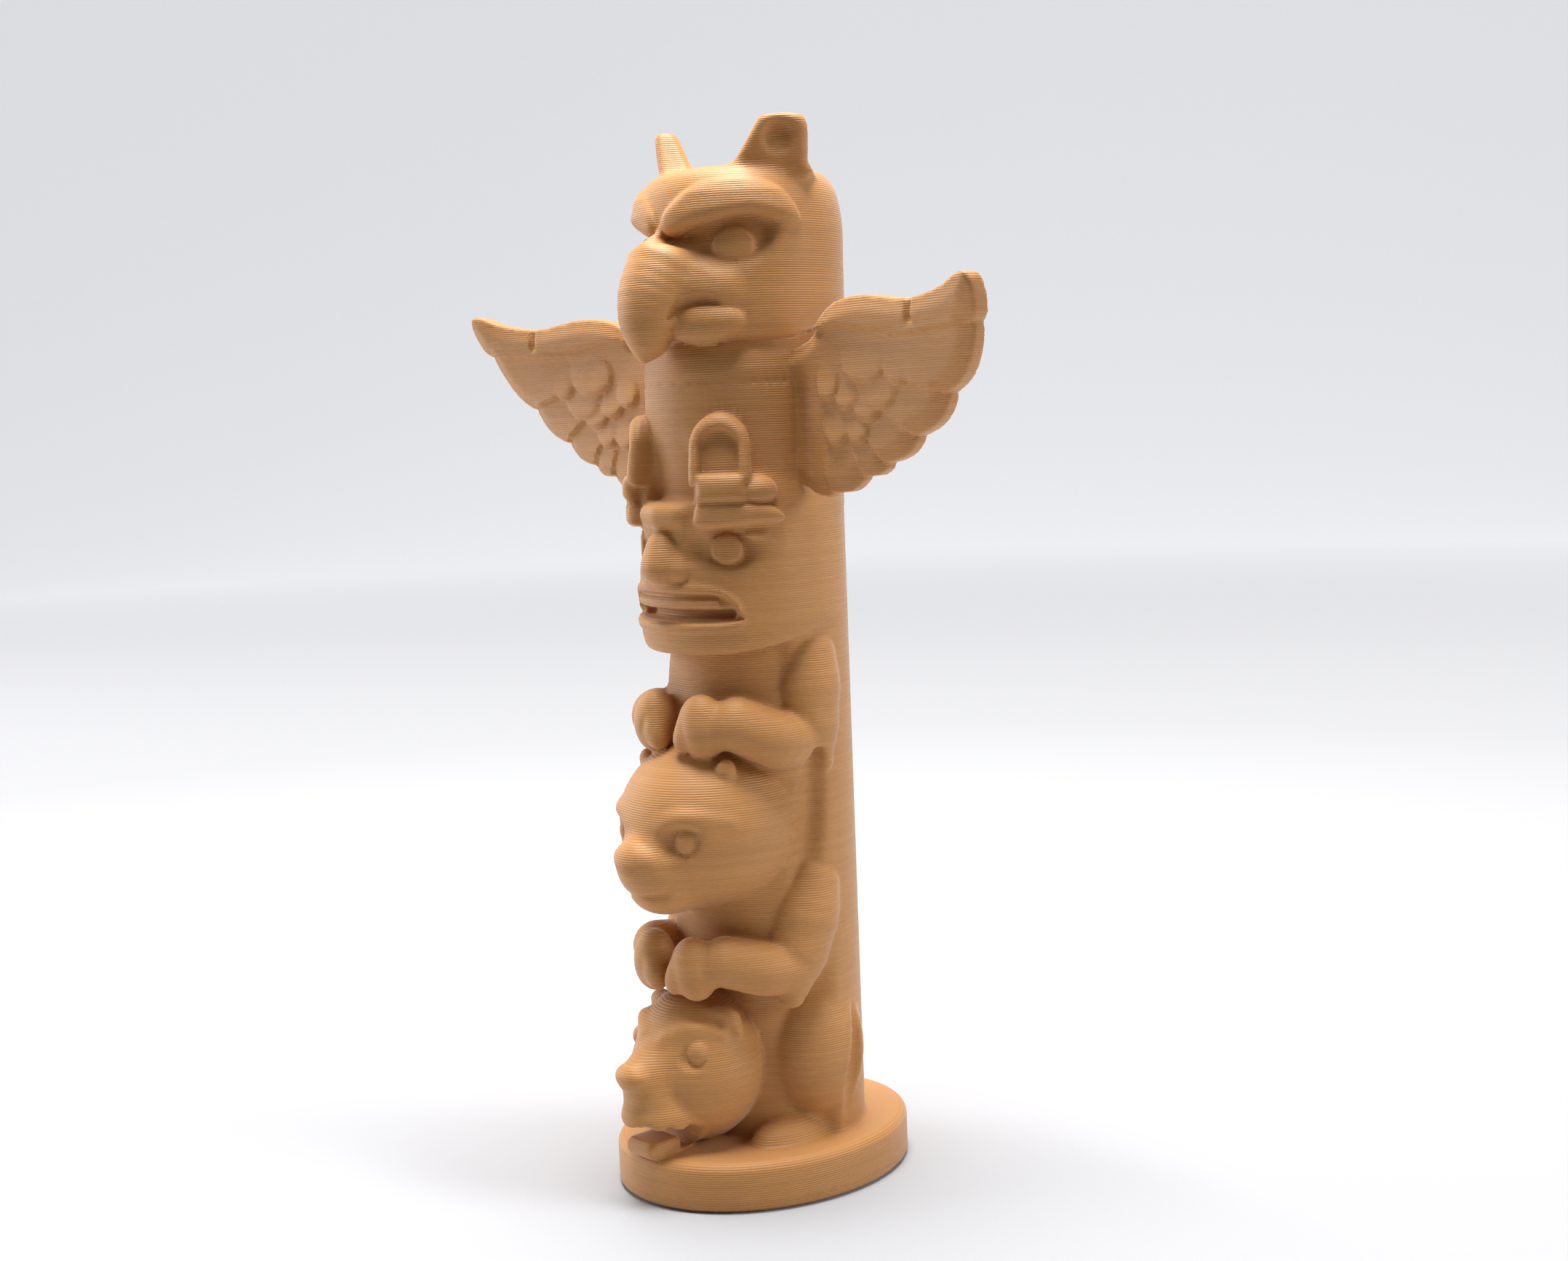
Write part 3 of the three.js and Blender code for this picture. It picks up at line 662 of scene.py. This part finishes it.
def part_diagonals(values):
    """Where the four nodes of a grid face lie in, out, in, out in turn, the outer node nearest the
    surface is put inside, so that no edge of the mesh has more than two faces."""
    faces = [[[0, 0, 0], u, [a + b for a, b in zip(u, v)], v] for u, v in (
        ([1, 0, 0], [0, 1, 0]), ([0, 1, 0], [0, 0, 1]), ([0, 0, 1], [1, 0, 0]),
    )]
    for _ in range(12):
        count = 0
        for face in faces:
            reach = [1 - max(corner[axis] for corner in face) for axis in range(3)]
            sizes = [n - 1 + r for n, r in zip(values.shape, reach)]
            a, b, c, d = (
                values[tuple(slice(o, o + n) for o, n in zip(corner, sizes))] < 0 for corner in face
            )
            cells = np.argwhere((a == c) & (b == d) & (a != b))
            if len(cells) == 0:
                continue
            count += len(cells)
            nodes = cells[:, None] + np.array(face)
            at_nodes = values[tuple(nodes.reshape(-1, 3).T)].reshape(-1, 4)
            chosen = np.argmin(np.where(at_nodes < 0, np.inf, at_nodes), 1)
            values[tuple(nodes[np.arange(len(cells)), chosen].T)] = -1e-3
        if count == 0:
            return


def settle(vertices, rounds=3):
    """Moves each vertex along the slope g of the field f onto the surface: p - f g / |g|^2."""
    nudge = 0.03
    for _ in range(rounds):
        value = field(vertices)
        slope = np.stack([
            field(vertices + nudge * side) - field(vertices - nudge * side) for side in np.eye(3)
        ], 1) / (2 * nudge)
        step = -value[:, None] * slope / np.maximum((slope**2).sum(1), 0.25)[:, None]
        length = np.linalg.norm(step, axis=1)
        vertices = vertices + step * np.minimum(1.0, 0.5 * CELL / np.maximum(length, 1e-9))[:, None]
    return vertices


def split(vertices, quads):
    """Two triangles from each quad, along its shorter diagonal."""
    a, b, c, d = (vertices[quads[:, i]] for i in range(4))
    first = np.linalg.norm(a - c, axis=1) <= np.linalg.norm(b - d, axis=1)
    one = np.where(first[:, None], quads[:, [0, 1, 2]], quads[:, [0, 1, 3]])
    two = np.where(first[:, None], quads[:, [0, 2, 3]], quads[:, [1, 2, 3]])
    return np.vstack([one, two])


def totem_surface():
    """The pole's vertices and triangles. The grid covers one half, and is mirrored for the other."""
    half = grid_values(GRID_LOW, GRID_HIGH)
    values = np.concatenate([half[::-1], half])
    origin = np.array([-half.shape[0] * CELL, GRID_LOW[1], GRID_LOW[2]])
    part_diagonals(values)
    vertices, quads = draw_surface(values, origin)
    vertices = settle(vertices)
    return vertices, split(vertices, quads)


# ---- Stage ----
# Everything from here is in metres.

def linear(colour):
    """An sRGB hex colour as linear red, green, blue and alpha."""
    value = np.array([int(colour[i:i + 2], 16) for i in (1, 3, 5)]) / 255.0
    value = np.where(value <= 0.04045, value / 12.92, ((value + 0.055) / 1.055)**2.4)
    return (*value.tolist(), 1.0)


def node(tree, kind, links=(), **settings):
    """Adds a node. links maps its inputs to other nodes' outputs, or to plain values."""
    new = tree.nodes.new(kind)
    for name, value in settings.items():
        setattr(new, name, value)
    for socket, source in dict(links).items():
        if isinstance(source, bpy.types.NodeSocket):
            tree.links.new(source, new.inputs[socket])
        else:
            new.inputs[socket].default_value = source
    return new


def new_material(name):
    material = bpy.data.materials.new(name)
    material.use_nodes = True
    tree = material.node_tree
    tree.nodes.clear()
    return material, tree


def fdm_pla_tan():
    """FDM-printed PLA, tan, matte: beads of plastic 0.2 mm high laid on one another. Through the bump they
    catch the light on their bulge, and the seam between two beads is painted darker as painted shade."""
    material, tree = new_material("fdm_pla_tan")
    place = node(tree, "ShaderNodeTexCoord").outputs["Object"]
    height = node(tree, "ShaderNodeSeparateXYZ", {0: place}).outputs["Z"]
    # A slow wander of the layer lines, as on a real print: about 0.03 mm over some 4 mm.
    wander = node(tree, "ShaderNodeTexNoise", {"Vector": place, "Scale": 250.0, "Detail": 1.0}).outputs["Fac"]
    shift = node(tree, "ShaderNodeMath", {0: wander, 1: 0.00003}, operation="MULTIPLY").outputs[0]
    moved = node(tree, "ShaderNodeMath", {0: height, 1: shift}, operation="ADD").outputs[0]
    layers = node(tree, "ShaderNodeMath", {0: moved, 1: LAYER * MM}, operation="DIVIDE").outputs[0]
    part = node(tree, "ShaderNodeMath", {0: layers}, operation="FRACT").outputs[0]
    number = node(tree, "ShaderNodeMath", {0: layers}, operation="FLOOR").outputs[0]
    # The bead's profile: 1 - |2 part - 1|^2.5.
    centred = node(tree, "ShaderNodeMath", {0: part, 1: 2.0, 2: -1.0}, operation="MULTIPLY_ADD").outputs[0]
    size = node(tree, "ShaderNodeMath", {0: centred}, operation="ABSOLUTE").outputs[0]
    power = node(tree, "ShaderNodeMath", {0: size, 1: 2.5}, operation="POWER").outputs[0]
    bead = node(tree, "ShaderNodeMath", {0: 1.0, 1: power}, operation="SUBTRACT").outputs[0]
    # No two layers come out alike.
    luck = node(tree, "ShaderNodeTexWhiteNoise", {"W": number}, noise_dimensions="1D").outputs["Value"]
    # Flow of the plastic along the bead: streaks some millimetres long and a layer high.
    stretch = node(tree, "ShaderNodeMapping", {"Vector": place, "Scale": (500.0, 500.0, 5000.0)}).outputs[0]
    flow = node(tree, "ShaderNodeTexNoise", {"Vector": stretch, "Scale": 1.0, "Detail": 2.0}).outputs["Fac"]

    tone = node(tree, "ShaderNodeMath", {0: luck, 1: 0.35}, operation="MULTIPLY").outputs[0]
    tone = node(tree, "ShaderNodeMath", {0: flow, 1: 0.3, 2: tone}, operation="MULTIPLY_ADD").outputs[0]
    body = node(tree, "ShaderNodeMix", {
        "Factor": tone, "A": linear("#ba8145"), "B": linear("#c99155"),
    }, data_type="RGBA")
    body_colour = body.outputs["Result"]
    # Painted shade: the colour darkens towards #8c5526 in the seam between two beads, where shade falls in
    # the groove.
    seam_shade = node(tree, "ShaderNodeMapRange", {
        "Value": bead, "From Min": 0.0, "From Max": 0.55, "To Min": 0.72, "To Max": 1.0,
    }).outputs["Result"]
    colour = node(tree, "ShaderNodeMix", {
        "Factor": seam_shade, "A": linear("#8c5526"), "B": body_colour,
    }, data_type="RGBA").outputs["Result"]
    relief = node(tree, "ShaderNodeMath", {0: flow, 1: 0.12, 2: bead}, operation="MULTIPLY_ADD").outputs[0]
    bump = node(tree, "ShaderNodeBump", {
        "Strength": 0.9, "Distance": 0.03 * MM, "Height": relief,
    }).outputs["Normal"]
    shader = node(tree, "ShaderNodeBsdfPrincipled", {
        "Base Color": colour, "Normal": bump, "Roughness": 0.5, "IOR": 1.46, "Metallic": 0.0,
        "Specular IOR Level": 0.5, "Sheen Weight": 0.25, "Sheen Roughness": 0.4,
    })
    node(tree, "ShaderNodeOutputMaterial", {"Surface": shader.outputs[0]})
    return material


def mesh_object(name, vertices, triangles):
    """Puts arrays of vertices, in metres, and triangles into a smooth mesh."""
    mesh = bpy.data.meshes.new(name)
    mesh.vertices.add(len(vertices))
    mesh.vertices.foreach_set("co", np.asarray(vertices, np.float32).ravel())
    mesh.loops.add(triangles.size)
    mesh.loops.foreach_set("vertex_index", triangles.ravel().astype(np.int32))
    mesh.polygons.add(len(triangles))
    mesh.polygons.foreach_set("loop_start", np.arange(0, triangles.size, 3, dtype=np.int32))
    mesh.polygons.foreach_set("use_smooth", np.ones(len(triangles), bool))
    mesh.update(calc_edges=True)
    thing = bpy.data.objects.new(name, mesh)
    bpy.context.scene.collection.objects.link(thing)
    return thing


def thin_out(thing, most):
    """Joins triangles where the surface is nearly flat, until there are no more than most."""
    count = len(thing.data.polygons)
    if count <= most:
        return
    thinner = thing.modifiers.new("thin", "DECIMATE")
    thinner.ratio = most / count
    graph = bpy.context.evaluated_depsgraph_get()
    thinned = bpy.data.meshes.new_from_object(thing.evaluated_get(graph))
    thing.modifiers.clear()
    thing.data = thinned


def keep_in(thing, low, high):
    """Holds every vertex inside a box."""
    places = np.empty(len(thing.data.vertices) * 3, np.float32)
    thing.data.vertices.foreach_get("co", places)
    places = np.clip(places.reshape(-1, 3), low, high)
    thing.data.vertices.foreach_set("co", places.astype(np.float32).ravel())
    thing.data.update()


# ---- Camera ----
# To the right of the pole's front, 196 mm from its axis and level with the top of the headdress.

CAMERA_PLACE = np.array([0.146865, -0.129614, 0.071315])
CAMERA_ANGLES = (47.71, 6.087, -2.196)      # degrees turned left from +Y, tilted down and rolled
LENS = 48.76                                # focal length in mm, on a sensor SENSOR mm wide
SENSOR = 36.0


def camera():
    """Sets the camera up and returns the way it looks."""
    turn, fall, roll = np.radians(CAMERA_ANGLES)
    forward = np.array([-np.sin(turn) * np.cos(fall), np.cos(turn) * np.cos(fall), -np.sin(fall)])
    level = np.array([np.cos(turn), np.sin(turn), 0.0])
    upright = np.cross(level, forward)
    right = level * np.cos(roll) + upright * np.sin(roll)
    up = upright * np.cos(roll) - level * np.sin(roll)
    data = bpy.data.cameras.new("camera")
    data.sensor_width = SENSOR
    data.lens = LENS
    data.clip_start = 0.01
    thing = bpy.data.objects.new("camera", data)
    bpy.context.scene.collection.objects.link(thing)
    matrix = np.eye(4)
    matrix[:3] = np.stack([right, up, -forward, CAMERA_PLACE], 1)
    thing.matrix_world = Matrix(matrix.tolist())
    bpy.context.scene.camera = thing
    return forward


# ---- Floor and light ----

GLOW_START, GLOW_END = 0.27, 0.8            # distances between which the paper's painted glow comes up
WALL_GLOW = 0.6                             # its strength beyond them
LIGHT_AIM = (0.0, 0.0, 0.05)


def sweep_floor(forward):
    """A floor that curves up into a wall: the profile (distance, height) runs flat, round a quarter of a
    circle and straight up, and is carried sideways along a line."""
    radius, reach, wide, tall = 0.5, 0.75, 2.2, 1.6
    front_edge = -0.18          # towards the camera, out of the picture
    bend = np.linspace(0.0, np.pi / 2, 25)
    profile = np.vstack([
        [[front_edge, 0.0]],
        np.stack([reach + radius * np.sin(bend), radius * (1 - np.cos(bend))], 1),
        [[reach + radius, tall]],
    ])
    ahead = np.array([forward[0], forward[1], 0.0]) / np.hypot(forward[0], forward[1])
    aside = np.array([-ahead[1], ahead[0], 0.0])
    rows = [
        profile[:, :1] * ahead + profile[:, 1:] * [0, 0, 1] + side * wide * aside for side in (-1.0, 1.0)
    ]
    vertices = np.vstack(rows)
    n = len(profile)
    i = np.arange(n - 1)
    quads = np.stack([i, i + 1, i + n + 1, i + n], 1)
    triangles = np.vstack([quads[:, [0, 2, 1]], quads[:, [0, 3, 2]]])
    thing = mesh_object("studio_floor", vertices, triangles)
    material, tree = new_material("white_paper_sweep")
    # White paper with a painted glow, which stands in for the studio light on the backdrop and grows with the
    # distance from the pole.
    place = node(tree, "ShaderNodeTexCoord").outputs["Object"]
    far = node(tree, "ShaderNodeVectorMath", {0: place}, operation="LENGTH").outputs["Value"]
    glow = node(tree, "ShaderNodeMapRange", {
        "Value": far, "From Min": GLOW_START, "From Max": GLOW_END, "To Min": 0.0, "To Max": WALL_GLOW,
    }).outputs["Result"]
    light = node(tree, "ShaderNodeEmission", {"Color": linear("#f6f7fa"), "Strength": glow})
    paper = node(tree, "ShaderNodeBsdfDiffuse", {"Color": linear("#bababc"), "Roughness": 0.5})
    both = node(tree, "ShaderNodeAddShader", {0: light.outputs[0], 1: paper.outputs[0]})
    node(tree, "ShaderNodeOutputMaterial", {"Surface": both.outputs[0]})
    thing.data.materials.append(material)


def soft_light(name, place, size, watts):
    """A white disk of light, aimed at the middle of the pole."""
    data = bpy.data.lights.new(name, "AREA")
    data.shape = "DISK"
    data.size = size
    data.energy = watts
    thing = bpy.data.objects.new(name, data)
    thing.location = place
    thing.rotation_euler = (Vector(LIGHT_AIM) - Vector(place)).to_track_quat("-Z", "Y").to_euler()
    bpy.context.scene.collection.objects.link(thing)


def lights():
    scene = bpy.context.scene
    scene.view_settings.view_transform = "Standard"
    world = bpy.data.worlds.new("studio")
    scene.world = world
    world.use_nodes = True
    background = world.node_tree.nodes["Background"]
    background.inputs["Color"].default_value = linear("#f4f6fa")
    background.inputs["Strength"].default_value = 0.07
    soft_light("overhead", (-0.01, 0.0, 0.5), 0.3, 5.2)
    soft_light("left", (-0.43, -0.26, 0.2), 0.4, 1.5)
    soft_light("right_back", (0.8, 0.45, 0.45), 0.5, 4.0)


# ---- The pole ----

def totem_pole():
    vertices, triangles = totem_surface()
    thing = mesh_object("totem_pole_print", vertices * MM, triangles)
    thin_out(thing, MOST_TRIANGLES)
    keep_in(thing, *cad_box)
    thing.data.materials.append(fdm_pla_tan())
    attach(thing, "root")
    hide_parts("totem_pole")


sweep_floor(camera())
lights()
totem_pole()
